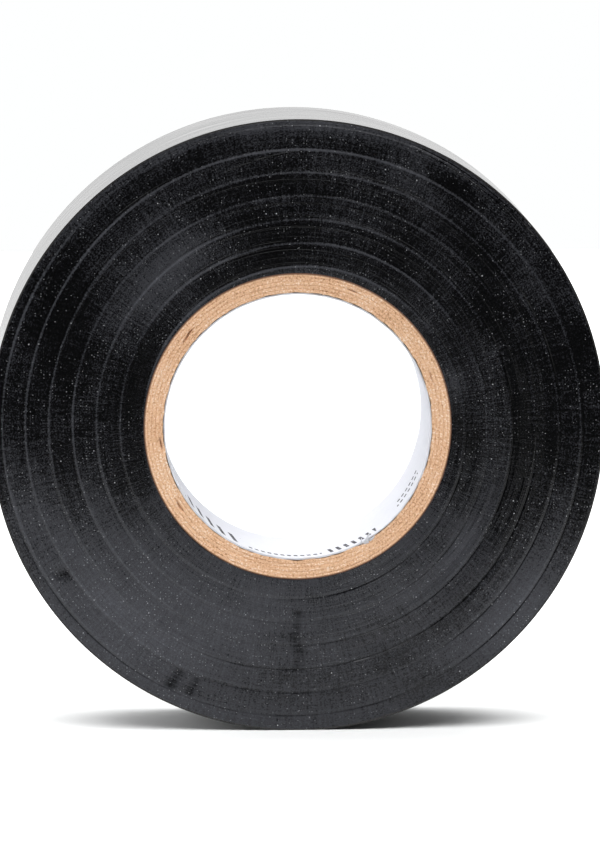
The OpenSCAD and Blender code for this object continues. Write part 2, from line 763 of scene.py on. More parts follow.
@dataclass(frozen=True)
class Chipboard(Finish):
    """Spiral-wound kraft chipboard, cut across: tan fibres, dark and pale flecks."""

    name: str = "kraft_chipboard"
    board: str = "#d6ad8b"
    deep: str = "#c79c78"
    pale: str = "#ecd6c0"
    fleck: str = "#a27753"
    # Dark brown that paints the shade along the board's outside, beside the tape
    edge_shade: str = "#5f3d2b"
    # Length and width of the fibres that show, in millimetres
    fibre_long: float = 0.36
    fibre_wide: float = 0.22
    # Width of the paler and darker bands among the plies, and size of cloudy areas
    band: float = 0.42
    cloud: float = 3.5
    mean_radius: float = 17.4
    relief: float = 0.06
    # How far inside the board's outside the painted shade beside the tape ends and is full
    shade_end: float = 0.28
    shade_full: float = 0.08

    def material(self) -> bpy.types.Material:
        """Makes the material."""
        material, tree, shader = self.start()
        polar = self.polar(tree)
        fibres = self.polar_noise(
            tree, polar, self.mean_radius / self.fibre_long, 1 / self.fibre_wide, 4.0
        )
        bands = self.polar_noise(tree, polar, 1.6, 1 / self.band, 2.0, 30.0)
        place = add(tree, "ShaderNodeTexCoord").outputs["Object"]
        clouds, fine = (
            add(
                tree,
                "ShaderNodeTexNoise",
                inputs={"Vector": place, "Scale": 1 / (size * MM), "Detail": 3.0},
            ).outputs[0]
            for size in (self.cloud, self.fibre_wide)
        )
        mixed = weighted_sum(
            tree, 0.0, (fibres, 0.3), (fine, 0.95), (bands, 0.1), (clouds, 0.25)
        )
        ramp = add(tree, "ShaderNodeValToRGB", inputs={0: mixed})
        stops = ramp.color_ramp.elements
        stops[0].position, stops[0].color = 0.58, linear(self.fleck)
        stops[1].position, stops[1].color = 0.98, linear(self.pale)
        for position, code in ((0.68, self.deep), (0.77, self.board), (0.86, self.board)):
            stops.new(position).color = linear(code)
        # Painted shade: a dark brown band along the board's outside, where it meets the
        # tape
        edge_shaded = add(
            tree,
            "ShaderNodeMapRange",
            SMOOTH_STEP,
            {
                0: polar[0],
                1: SIZES.core_radius - self.shade_end,
                2: SIZES.core_radius - self.shade_full,
                3: 0.0,
                4: 0.95,
            },
        ).outputs[0]
        colour = add(
            tree,
            "ShaderNodeMix",
            COLOURS,
            {0: edge_shaded, 6: ramp.outputs[0], 7: linear(self.edge_shade)},
        ).outputs[2]
        tree.links.new(colour, shader.inputs["Base Color"])
        shader.inputs["Roughness"].default_value = 0.85
        shader.inputs["IOR"].default_value = 1.45
        height = weighted_sum(tree, fibres, (fine, 0.7))
        bump = add(
            tree,
            "ShaderNodeBump",
            inputs={"Strength": 1.0, "Distance": self.relief * MM, "Height": height},
        )
        tree.links.new(bump.outputs[0], shader.inputs["Normal"])
        return material


@dataclass(frozen=True)
class LinerPaper(Finish):
    """Clay-coated white paper with a plain printed border of bars and dashes."""

    name: str = "coated_liner_paper"
    paper: str = "#cecfd4"
    shade: str = "#c4c5cb"
    ink: str = "#26242b"
    fibre: float = 0.8
    relief: float = 0.012
    # How far the marks lean along the arc, for each millimetre of depth
    lean: float = 0.12
    # Size of the spots where the print is thin
    worn: float = 0.5

    def material(self) -> bpy.types.Material:
        """Makes the material."""
        material, tree, shader = self.start()
        place = add(tree, "ShaderNodeTexCoord").outputs["Object"]
        parts = add(tree, "ShaderNodeSeparateXYZ", inputs={0: place}).outputs
        # Arc length and depth in millimetres, so the print keeps its real size
        inputs = {0: parts["Z"], 1: parts["X"]}
        angle = add(tree, "ShaderNodeMath", {"operation": "ARCTAN2"}, inputs).outputs[0]
        arc = weighted_sum(tree, 0.0, (angle, SIZES.bore_radius))
        depth = add(tree, "ShaderNodeMath", DIVIDED, {0: parts["Y"], 1: MM}).outputs[0]
        ink = self.printed(tree, arc, depth)
        fibres = add(
            tree,
            "ShaderNodeTexNoise",
            inputs={"Vector": place, "Scale": 1 / (self.fibre * MM), "Detail": 4.0},
        ).outputs[0]
        colour = linear(self.paper)
        for share, code in ((fibres, self.shade), (ink, self.ink)):
            colour = add(
                tree, "ShaderNodeMix", COLOURS, {0: share, 6: colour, 7: linear(code)}
            ).outputs[2]
        bump = add(
            tree,
            "ShaderNodeBump",
            inputs={"Strength": 1.0, "Distance": self.relief * MM, "Height": fibres},
        )
        tree.links.new(colour, shader.inputs["Base Color"])
        tree.links.new(bump.outputs[0], shader.inputs["Normal"])
        shader.inputs["Roughness"].default_value = 0.6
        shader.inputs["IOR"].default_value = 1.5
        shader.inputs["Specular IOR Level"].default_value = 0.05
        return material

    def printed(
        self,
        tree: bpy.types.NodeTree,
        arc: bpy.types.NodeSocket,
        depth: bpy.types.NodeSocket,
    ) -> bpy.types.NodeSocket:
        """Groups of slanted bars with a row of fine dashes beside them.

        Args:
            tree: the node tree.
            arc: arc length in millimetres.
            depth: place along the axis in millimetres.

        Returns:
            The socket that is 1 on ink and 0 on bare paper.
        """
        slanted = weighted_sum(tree, arc, (depth, self.lean))
        turn_length = FULL_TURN * SIZES.bore_radius
        total = 0.0
        # Each row: pitch of its marks and their share of ink, middle and length of its
        # printed stretch, the stretches in a turn, and the row's middle and half height
        for pitch, inked, start, length, repeats, middle, half in (
            (1.7, 0.38, -36.6, 9.2, 2, -4.6, 2.7),
            (1.0, 0.42, -18.2, 6.6, 2, -6.6, 1.5),
            (0.8, 0.6, -26.6, 9.0, 2, -7.2, 0.45),
            (0.8, 0.6, -8.8, 4.8, 2, -5.0, 0.45),
            (0.8, 0.6, -8.8, 4.8, 2, -2.4, 0.45),
        ):
            period = turn_length / repeats
            # There is ink on a mark, where its stretch and its row have it
            row = 1.0
            for value, *steps in (
                (slanted, (DIVIDED, pitch), (FRACTION, 0.0), (BELOW, inked)),
                (
                    arc,
                    (MINUS, start - length / 2),
                    (DIVIDED, period),
                    (FRACTION, 0.0),
                    (BELOW, length / period),
                ),
                (depth, (MINUS, middle), (UNSIGNED, 0.0), (BELOW, half)),
            ):
                for settings, number in (*steps, (TIMES, row)):
                    inputs = {0: value, 1: number}
                    value = add(tree, "ShaderNodeMath", settings, inputs).outputs[0]
                row = value
            total = add(tree, "ShaderNodeMath", LARGER, {0: total, 1: row}).outputs[0]
        spots = add(
            tree,
            "ShaderNodeTexNoise",
            inputs={
                "Vector": add(tree, "ShaderNodeTexCoord").outputs["Object"],
                "Scale": 1 / (self.worn * MM),
                "Detail": 2.0,
            },
        ).outputs[0]
        # Most of the ink is solid, and it thins out only at the darkest spots
        inputs = {0: spots, 1: 0.45}
        solid = add(tree, "ShaderNodeMath", {"operation": "ADD"}, inputs).outputs[0]
        return add(tree, "ShaderNodeMath", TIMES, {0: total, 1: solid}).outputs[0]


@dataclass(frozen=True)
class StudioFloor(Finish):
    """Seamless white paper, which the studio light bleaches out."""

    name: str = "seamless_paper"
    colour: str = "#f4f5f5"

    def material(self) -> bpy.types.Material:
        """Makes the material."""
        material, tree, shader = self.start()
        shader.inputs["Base Color"].default_value = linear(self.colour)
        shader.inputs["Roughness"].default_value = 0.9
        place = add(tree, "ShaderNodeTexCoord").outputs["Object"]
        tooth = add(
            tree,
            "ShaderNodeTexNoise",
            inputs={"Vector": place, "Scale": 1 / (0.6 * MM), "Detail": 2.0},
        ).outputs[0]
        bump = add(
            tree,
            "ShaderNodeBump",
            inputs={"Strength": 0.3, "Distance": 0.02 * MM, "Height": tooth},
        )
        tree.links.new(bump.outputs[0], shader.inputs["Normal"])
        return material


# ---------------------------------------------------------------------------
# The cut faces
# ---------------------------------------------------------------------------


@dataclass(frozen=True)
class Trench:
    """A crease, nick or opening in a cut face, from one polar point to another.

    Attributes:
        start: angle in degrees and radius in millimetres where it starts.
        end: where it ends.
        depth: how deep it is, in millimetres.
        width: half its width, in millimetres.
        dark: how much shade is painted in it, from 0 to 1.
    """

    start: tuple[float, float]
    end: tuple[float, float]
    depth: float
    width: float
    dark: float = 0.6

    def share(self, radius: np.ndarray, angle: np.ndarray) -> np.ndarray:
        """How far into the trench each point is, from 0 outside to 1 at the bottom."""
        (a0, r0), (a1, r1) = self.start, self.end
        middle = math.radians(1) * (r0 + r1) / 2
        if abs(a1 - a0) * middle > abs(r1 - r0):
            centre = (a0 + a1) / 2
            along = 0.5 + angle_between(angle, centre) / (a1 - a0)
            across = radius - (r0 + (r1 - r0) * along)
        else:
            along = (radius - r0) / (r1 - r0)
            across = angle_between(angle, a0 + (a1 - a0) * np.clip(along, 0, 1)) * middle
        ends = smooth_ramp(along, -0.02, 0.12) * smooth_ramp(along, 1.02, 0.88)
        return np.exp(-((across / self.width) ** 2)) * ends


@dataclass(frozen=True)
class Patch:
    """A soft-edged patch of a cut face with its own smoothness and darkness: partly the
    finish that knife and handling left, partly painted sheen and reflection.

    Attributes:
        angle: its middle, in degrees.
        radius: its middle, in millimetres.
        spread: half its size, in degrees and in millimetres.
        amount: how much smoother and darker it is; a negative patch is duller and paler.
    """

    angle: float
    radius: float
    spread: tuple[float, float]
    amount: float

    def share(self, radius: np.ndarray, angle: np.ndarray) -> np.ndarray:
        """The patch's strength at each point."""
        around = angle_between(angle, self.angle) / self.spread[0]
        outward = (radius - self.radius) / self.spread[1]
        return self.amount * np.exp(-(around**2) - outward**2)


@dataclass(frozen=True)
class CutFace:
    """The relief of one cut face: feed marks, uneven turns, and its creases and patches.

    Attributes:
        side: which face it is.
        trenches: its creases, nicks and gaps.
        patches: its smoother and duller areas, which also paint sheen and reflections.
        polish: how smooth it is away from the dull side.
        dull_and_sheen_angle: the middle of its dull side, rougher and painted paler, in
            degrees.
        dull_and_sheen: how much less smooth and how much paler that side is.
        dull_and_sheen_reach: where the dull side ends and is full, in degrees from its
            middle.
        highlight_angle: where the highlights painted on the feed marks' crests are
            strongest.
        highlight_reach: where those painted highlights end and are full, in degrees from
            there.
        crest: half the width of a painted highlight on a crest, in millimetres.
        gap_shade_angle: where gaps at the feed marks' feet open most and their painted
            shade is darkest.
        mark_start: radius where the outermost feed mark starts.
        wander: how far the feed marks stray from their spiral.
        riser: width of the slope of a feed mark.
        rim_round: how far the outermost turns fall back at the rim.
        core_round: how far the innermost ones fall back at the core.
    """

    side: Face
    trenches: tuple[Trench, ...]
    patches: tuple[Patch, ...]
    polish: float
    dull_and_sheen_angle: float
    dull_and_sheen: float
    dull_and_sheen_reach: tuple[float, float] = (82, 50)
    highlight_angle: float = 118
    highlight_reach: tuple[float, float] = (110, 40)
    crest: float = 0.14
    gap_shade_angle: float = 312
    mark_start: float = 37.16
    wander: float = 0.07
    riser: float = 0.4
    rim_round: float = 0.09
    core_round: float = 0.05

    def phase(self, radius: np.ndarray, angle: np.ndarray) -> np.ndarray:
        """Place between feed marks, from 0 just inside one to 1 just outside the next."""
        stray = self.wander * Ripple(201 + self.side.value, 6, 9, 0.2).at(radius, angle)
        turns = (self.mark_start - radius + stray) / SIZES.feed - angle / 360
        return turns - np.floor(turns)

    def from_mark(self, radius: np.ndarray, angle: np.ndarray) -> np.ndarray:
        """Distance inwards from the nearest feed mark, in millimetres."""
        phase = self.phase(radius, angle)
        return (phase - np.round(phase)) * SIZES.feed

    def feed_relief(self, radius: np.ndarray, angle: np.ndarray) -> np.ndarray:
        """Height of the feed's sawtooth, towards the front, in millimetres."""
        distance = self.from_mark(radius, angle)
        rise = smooth_ramp(distance, -self.riser / 2, self.riser / 2)
        return SIZES.feed_step * (rise - 0.5 - distance / SIZES.feed)

    def marks(
        self, radius: np.ndarray, angle: np.ndarray
    ) -> tuple[np.ndarray, np.ndarray]:
        """Creases and gaps, with shade painted in them.

        Returns:
            How deep each point lies, in millimetres, and its painted shade, from 0 to 1.
        """
        depth = np.zeros(radius.shape)
        dark = np.zeros(radius.shape)
        for trench in self.trenches:
            share = trench.share(radius, angle)
            depth = np.maximum(depth, trench.depth * share)
            dark = np.maximum(dark, trench.dark * share)
        # Fine gaps run along the feet of the feed marks, where the turns lie less tight,
        # with shade painted in them
        foot = self.from_mark(radius, angle) + self.riser / 2 + 0.05
        tight = Ripple(301 + self.side.value, 8, 5, 1.4).at(radius, angle)
        slack = np.exp(-((angle_between(angle, self.gap_shade_angle) / 50) ** 2))
        share = np.exp(-((foot / 0.07) ** 2))
        share = share * np.clip(0.15 + 0.35 * tight + 0.8 * slack, 0, 1)
        return np.maximum(depth, 0.07 * share), np.maximum(dark, share)

    def rim_drop(self, radius: np.ndarray) -> np.ndarray:
        """How far the turns beside the rim and the core fall back, in millimetres."""
        rim = np.clip((radius - SIZES.tip_radius + 1.3) / 1.3, 0, 1) ** 2
        core = np.clip(SIZES.core_radius + 1 - radius, 0, 1) ** 2
        return self.rim_round * rim + self.core_round * core

    def rub_and_sheen(self, radius: np.ndarray, angle: np.ndarray) -> np.ndarray:
        """How smooth knife and handling left each point, 0 to 1, with painted sheen."""
        # A dull side, rougher and painted paler; on the front face it is the bottom, where
        # the paler colour paints the floor's reflection
        off = np.abs(angle_between(angle, self.dull_and_sheen_angle))
        total = self.polish - self.dull_and_sheen * smooth_ramp(off, *self.dull_and_sheen_reach)
        total = total + 0.05 * Ripple(77 + self.side.value, 14, 7, 0.6).at(radius, angle)
        # Painted highlights: the crests of the feed marks are made duller and so paler,
        # most of all round one angle, on the front face's upper left
        off = np.abs(angle_between(angle, self.highlight_angle))
        highlight_weight = smooth_ramp(off, *self.highlight_reach)
        past_crest = self.from_mark(radius, angle) - self.riser / 4
        uneven = Ripple(57 + self.side.value, 8, 6, 0.5).at(radius, angle)
        fading = np.clip(0.9 + 0.35 * uneven, 0.5, 1.3) * smooth_ramp(radius, 36.4, 35.4)
        crest_highlight = np.exp(-((past_crest / self.crest) ** 2)) * fading
        total = total - crest_highlight * (0.12 + 0.55 * highlight_weight)
        # Each feed of the strip is worn a little differently from its neighbours, in
        # slow waves along it: how many there are in a turn, and where each starts
        turned = angle / 360
        travelled = np.floor((self.mark_start - radius) / SIZES.feed - turned) + turned
        for frequency, start in ((0.37, 0.4), (0.83, 2.9), (1.71, 5.1), (2.6, 1.2)):
            total = total + 0.05 * np.cos(FULL_TURN * frequency * travelled + start)
        for patch in self.patches:
            total = total + patch.share(radius, angle)
        return np.clip(total, -0.3, 1.1)


FRONT = CutFace(
    Face.FRONT,
    trenches=(
        Trench((37, 36.55), (68, 36.7), 0.2, 0.05, 0.9),
        Trench((42, 36.1), (66, 36.3), 0.14, 0.05, 0.8),
        Trench((41, 35.9), (41.5, 34.6), 0.08, 0.12, 0.4),
        Trench((88, 33.5), (107, 31.8), 0.06, 0.1, 0.3),
        Trench((135, 36.1), (160, 33.5), 0.05, 0.1, 0.3),
        Trench((211.5, 34.6), (212.5, 32.7), 0.14, 0.6, 0.8),
        Trench((243.6, 35.6), (244.2, 32.6), 0.14, 0.6, 0.8),
        Trench((247.8, 35.4), (248.3, 32.7), 0.14, 0.5, 0.75),
        Trench((269.6, 29.9), (270.8, 27.4), 0.1, 0.6, 0.45),
        Trench((270.8, 27.8), (269.0, 25.3), 0.12, 0.65, 0.7),
        Trench((269.0, 25.5), (270.4, 22.2), 0.1, 0.6, 0.6),
    ),
    # Patches that also paint the face's sheen and reflections; the dull ones along the rim
    # at the top paint the rim's highlight
    patches=(
        Patch(8, 31.5, (24, 4.8), 0.25),
        Patch(98, 27.5, (14, 6.0), 0.16),
        Patch(168, 28.5, (17, 6.5), 0.22),
        Patch(130, 23.5, (18, 5.0), -0.42),
        Patch(83, 36.9, (26, 1.3), -0.7),
        Patch(124, 37.0, (24, 1.2), -0.4),
        Patch(234, 31.0, (24, 8.0), -0.3),
        Patch(320, 36.0, (14, 3.5), -0.25),
        Patch(196, 34.8, (9, 3.5), -0.35),
        Patch(15, 19.4, (9, 1.6), -0.3),
        Patch(258, 24.0, (6, 4.5), -0.15),
        Patch(286, 27.0, (30, 9.0), 0.16),
        Patch(205, 22.0, (14, 5.5), 0.2),
        Patch(47, 30.2, (12, 1.5), 0.34),
        Patch(57, 34.3, (5, 1.1), 0.3),
        Patch(37, 33.6, (12, 1.6), -0.07),
        Patch(68, 33.5, (9, 2.2), -0.16),
        Patch(152, 32.6, (12, 2.6), 0.24),
        Patch(298, 34.8, (9, 2.0), 0.22),
    ),
    polish=0.86,
    # Painted floor reflection: the bottom of the front face is painted paler
    dull_and_sheen_angle=268,
    dull_and_sheen=0.52,
)

REAR = CutFace(
    Face.REAR,
    trenches=(
        Trench((112, 36.4), (151, 36.6), 0.16, 0.05, 0.8),
        Trench((203, 33.1), (203.6, 31.2), 0.1, 0.25, 0.8),
        Trench((308, 30.4), (309, 28.6), 0.08, 0.25, 0.7),
        Trench((66, 24.0), (95, 22.8), 0.05, 0.1, 0.3),
    ),
    patches=(
        Patch(190, 31.0, (26, 6.0), 0.5),
        Patch(40, 26.0, (20, 6.0), 0.45),
        Patch(300, 29.0, (22, 6.0), -0.3),
    ),
    polish=0.78,
    dull_and_sheen_angle=75,
    dull_and_sheen=0.3,
)


@dataclass
class Winding:
    """The wound strip between the core and the last turn, in seven rings.

    Each ring has its own turns of film, with the adhesive sunk between them.

    Attributes:
        film: the material of the outermost turn's outer side.
        turns: how many turns a ring has.
        last_turns: how many the outermost ring has.
        steps: steps of the spin.
        groove: how far the adhesive lies below the film's edges, in millimetres.
        uneven: how much the turns differ in height.
        slack_angle: where the turns lie least tight, in degrees.
        slack_spread: half the size of that area.
        slack_rings: how many rings from the core it reaches.
        film_share: where the film's edges lie in the pitch of the turns.
        finish: the finish of the cut edges.
    """

    film: bpy.types.Material
    turns: int = 16
    last_turns: int = 8
    steps: int = 480
    groove: float = 0.012
    uneven: float = 0.003
    slack_angle: float = 328
    slack_spread: float = 34
    slack_rings: int = 4
    film_share: tuple[float, float] = (0.2, 0.8)
    finish: SlitEdge = SlitEdge()

    def build(self) -> list[bpy.types.Object]:
        """Builds the rings and hangs them on the roll.

        Returns:
            The rings, from the core outwards.
        """
        material = self.finish.material()
        made = []
        for number in range(1, SIZES.rings + 1):
            piece = self.ring(number, material)
            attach(piece, "roll")
            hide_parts(f"winding_{number}")
            made.append(piece)
        return made

    def ring(self, number: int, material: bpy.types.Material) -> bpy.types.Object:
        """Builds one ring.

        Args:
            number: its place from the core, from 1.
            material: the material of the cut edges.

        Returns:
            The ring.
        """
        last = number == SIZES.rings
        turns = self.last_turns if last else self.turns
        inner = SIZES.core_radius + SIZES.feed * (number - 1)
        outer = SIZES.tip_radius - SIZES.tape if last else inner + SIZES.feed
        builder = spun_tube(inner, outer, SIZES.half_width, 3 * turns - 1, self.steps)
        piece = new_mesh_piece(f"wound_ring_{number}", builder, material)
        polar = Polar(piece)
        self.shape(polar, number, inner, outer, turns)
        if last:
            # The turn that shows when the tail is lifted is film on its outer side, whose
            # faces reach across the strip, so that they are the largest ones
            piece.data.materials.append(self.film)
            for polygon in piece.data.polygons:
                if abs(polygon.normal.y) < 0.1 and polygon.area > MM**2:
                    polygon.material_index = 1
        piece.data.set_sharp_from_angle(angle=math.radians(55))
        return piece

    def shape(
        self, polar: Polar, number: int, inner: float, outer: float, turns: int
    ) -> None:
        """Gives a plain ring its turns, feed marks, creases and patches."""
        pitch = (outer - inner) / turns
        place = np.round((polar.radius - inner) / pitch * 3).astype(int)
        turn, part = place // 3, place % 3
        # Adhesive line, then the film's two edges
        offsets = np.array([0.0, *self.film_share])
        polar.radius = inner + pitch * (turn + offsets[part])
        if number == SIZES.rings:
            past_seam = (polar.angle - SIZES.seam_angle) % 360
            edge = SIZES.spiral(past_seam, outer)
            share = (polar.radius - inner) / (outer - inner)
            polar.radius = inner + share * (edge - inner)

        front = polar.along < 0
        height = np.zeros(polar.radius.shape)
        rub_and_sheen = np.zeros(polar.radius.shape)
        gap_shade = np.zeros(polar.radius.shape)
        for face, chosen in ((FRONT, front), (REAR, ~front)):
            radius, angle = polar.radius[chosen], polar.angle[chosen]
            depth, gap_shade[chosen] = face.marks(radius, angle)
            local = self.turn_relief(face, number, turn[chosen], part[chosen], angle)
            relief = -face.side.value * face.feed_relief(radius, angle)
            height[chosen] = relief + local - depth - face.rim_drop(radius)
            rub_and_sheen[chosen] = face.rub_and_sheen(radius, angle)
        outward = np.where(front, -1.0, 1.0)
        polar.along = outward * (SIZES.half_width + height)
        polar.put_back()
        # For the material: smoothness with painted sheen, and the shade painted in gaps
        # and creases
        polar.write("rub_and_sheen", rub_and_sheen)
        polar.write("gap_shade", gap_shade)

    def turn_relief(
        self,
        face: CutFace,
        number: int,
        turn: np.ndarray,
        part: np.ndarray,
        angle: np.ndarray,
    ) -> np.ndarray:
        """Height of each turn beside its neighbours, with the adhesive sunk between them.

        Args:
            face: the cut face.
            number: the ring's number.
            turn: each point's turn within the ring.
            part: 0 on the adhesive, 1 and 2 on the film's edges.
            angle: angles in degrees.

        Returns:
            Heights outwards from the face, in millimetres.
        """
        random = np.random.default_rng(1000 * number + 10 + face.side.value)
        count = int(turn.max()) + 1
        level = random.normal(size=count) * self.uneven
        swing = random.normal(size=(count, 4)) * self.uneven * 0.6
        start = random.uniform(0, FULL_TURN, size=(count, 4))
        periods = np.array([1, 2, 3, 5])
        waves = np.cos(np.radians(angle)[:, None] * periods + start[turn])
        film = level[turn] + (swing[turn] * waves).sum(axis=1)
        off = angle_between(angle, self.slack_angle) / self.slack_spread
        slack = np.exp(-(off**2)) * (number <= self.slack_rings)
        sunk = -self.groove * (0.8 + 2.5 * slack)
        return np.where(part == 0, sunk, film * (1 + 4 * slack))


# ---------------------------------------------------------------------------
# The core
# ---------------------------------------------------------------------------


@dataclass
class Core:
    """The chipboard core in five plies, with its paper liner and a torn place.

    Attributes:
        steps: steps of a ply's spin.
        liner_steps: steps of the liner's spin.
        glue_line: how far a ply's end falls back where the plies are glued, in
            millimetres.
        ragged: how rough the cut ends are.
        worn: how much the innermost ply's edge is worn away.
        highest: how far a cut end may stand out.
        tear_angle: where the edge is torn, in degrees.
        tear_spread: half the size of the torn place.
        tear_depth: how deep it is, in millimetres.
        split_width: half the width of a split between plies.
        board: the finish of the plies.
        paper: the finish of the liner.
        splits: splits between plies: angle, radius, half length in degrees, and depth.
    """

    steps: int = 300
    liner_steps: int = 480
    glue_line: float = 0.05
    ragged: float = 0.05
    worn: float = 0.12
    highest: float = 0.04
    tear_angle: float = 300.0
    tear_spread: float = 2.6
    tear_depth: float = 0.5
    split_width: float = 0.1
    board: Chipboard = Chipboard()
    paper: LinerPaper = LinerPaper()
    splits: tuple[tuple[float, float, float, float], ...] = (
        (140, 17.30, 4.0, 0.7),
        (214, 17.16, 3.0, 0.5),
        (187, 16.68, 3.0, 0.5),
        (68, 17.64, 2.5, 0.4),
        (20, 17.16, 3.0, 0.3),
    )

    def build(self) -> list[bpy.types.Object]:
        """Builds the plies, the liner and the torn fibres.

        Returns:
            The pieces, from the bore outwards.
        """
        board, paper = self.board.material(), self.paper.material()
        made = [self.liner(paper)]
        made += [self.ply(number, board) for number in range(1, SIZES.plies + 1)]
        made += self.torn_fibres(paper)
        for piece in made:
            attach(piece, "roll")
        return made

    def ply(self, number: int, material: bpy.types.Material) -> bpy.types.Object:
        """Builds one ply of board.

        Args:
            number: its place from the bore, from 1.
            material: the board's material.

        Returns:
            The ply.
        """
        first = SIZES.bore_radius + SIZES.liner
        thickness = (SIZES.core_radius - first) / SIZES.plies
        inner = first + (number - 1) * thickness
        builder = spun_tube(inner, inner + thickness, SIZES.half_width, 7, self.steps)
        piece = new_mesh_piece(f"board_ply_{number}", builder, material)
        polar = Polar(piece)
        share = (polar.radius - inner) / thickness
        front = polar.along < 0
        rough = Ripple(410 + number, 30, 90, 9.0).at(polar.radius, polar.angle)
        wavy = Ripple(430 + number, 10, 9, 1.0).at(polar.radius, polar.angle)
        glued = smooth_ramp(share, 0.15, 0) + smooth_ramp(share, 0.85, 1)
        sink = self.glue_line * glued
        sink = sink - self.ragged * 0.35 * rough - self.ragged * 0.5 * wavy
        for angle, radius, half, depth in self.splits:
            along = np.clip(1 - (angle_between(polar.angle, angle) / half) ** 2, 0, 1)
            jag = radius + 0.08 * np.cos(np.radians(polar.angle * 47))
            across = np.exp(-(((polar.radius - jag) / self.split_width) ** 2))
            sink = sink + np.where(front, depth * along * across, 0)
        if number == 1:
            off = angle_between(polar.angle, self.tear_angle) / self.tear_spread
            tear = self.tear_depth * np.exp(-(off**2)) * (1 - share)
            sink = sink + np.where(front, tear, 0)
            rub_and_sheen = np.abs(Ripple(470, 24, 60, 0.1).at(polar.radius, polar.angle))
            polar.radius = polar.radius + np.where(share < 0.2, self.worn * rub_and_sheen, 0)
        outward = np.where(front, -1.0, 1.0)
        polar.along = outward * (SIZES.half_width - np.maximum(sink, -self.highest))
        polar.put_back()
        piece.data.set_sharp_from_angle(angle=math.radians(60))
        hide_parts(f"core_ply_{number}")
        return piece

    def liner(self, material: bpy.types.Material) -> bpy.types.Object:
        """Builds the paper liner, whose cut ends are a little ragged."""
        outer = SIZES.bore_radius + SIZES.liner
        builder = spun_tube(
            SIZES.bore_radius, outer, SIZES.half_width, 1, self.liner_steps
        )
        walls = [e for e in builder.edges if abs(e.verts[0].co.y - e.verts[1].co.y) > 1]
        bmesh.ops.subdivide_edges(builder, edges=walls, cuts=24, use_grid_fill=True)
        piece = new_mesh_piece("liner_sleeve", builder, material)
        polar = Polar(piece)
        end = smooth_ramp(np.abs(polar.along), SIZES.half_width - 1.2, SIZES.half_width)
        ragged = Ripple(510, 26, 50, 0.0).at(polar.radius, polar.angle)
        slack = Ripple(530, 6, 5, 0.0).at(polar.radius, polar.angle)
        polar.along = polar.along * (1 - 0.014 * end * np.clip(0.8 + ragged, 0, 3))
        inside = polar.radius < SIZES.bore_radius + SIZES.liner / 4
        polar.radius = polar.radius + 0.03 * np.clip(slack, 0, 2) * inside
        polar.put_back()
        piece.data.set_sharp_from_angle(angle=math.radians(60))
        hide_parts("core_liner")
        return piece

    def torn_fibres(self, material: bpy.types.Material) -> list[bpy.types.Object]:
        """Builds the few curls of paper that stand out where the edge is torn.

        Returns:
            The curls.
        """
        made = []
        # Each curl: angle, radius, length, width and lean in degrees
        for number, (angle, radius, length, width, lean) in enumerate(
            (
                (299.2, 16.45, 1.5, 0.5, 25.0),
                (300.6, 16.75, 1.1, 0.35, -10.0),
                (301.6, 16.4, 0.9, 0.4, 50.0),
                (298.0, 16.3, 0.8, 0.3, 5.0),
            ),
            start=1,
        ):
            builder = bmesh.new()
            bmesh.ops.create_grid(builder, x_segments=3, y_segments=8, size=0.5)
            for vertex in builder.verts:
                share = vertex.co.y + 0.5
                taper = width * (1 - 0.75 * share)
                vertex.co = Vector(
                    (vertex.co.x * taper, -0.35 * math.sin(2.4 * share), share * length)
                )
            bmesh.ops.solidify(builder, geom=builder.faces[:], thickness=0.07)
            bmesh.ops.recalc_face_normals(builder, faces=builder.faces[:])
            turn = math.radians(angle)
            foot = Vector((math.cos(turn), 0, math.sin(turn))) * radius
            foot.y = -SIZES.half_width + 0.25
            leant = Matrix.Rotation(math.radians(lean), 4, "Y")
            bmesh.ops.transform(
                builder, matrix=Matrix.Translation(foot) @ leant, verts=builder.verts[:]
            )
            piece = new_mesh_piece(f"paper_curl_{number}", builder, material)
            made.append(piece)
        return made


# ---------------------------------------------------------------------------
# The last turn and the loose tail
# ---------------------------------------------------------------------------


class Layer(Enum):
    """The strip's two layers: depth of top and bottom under its outer side."""

    FILM = (0.0, SIZES.film)
    ADHESIVE = (SIZES.film, SIZES.tape)


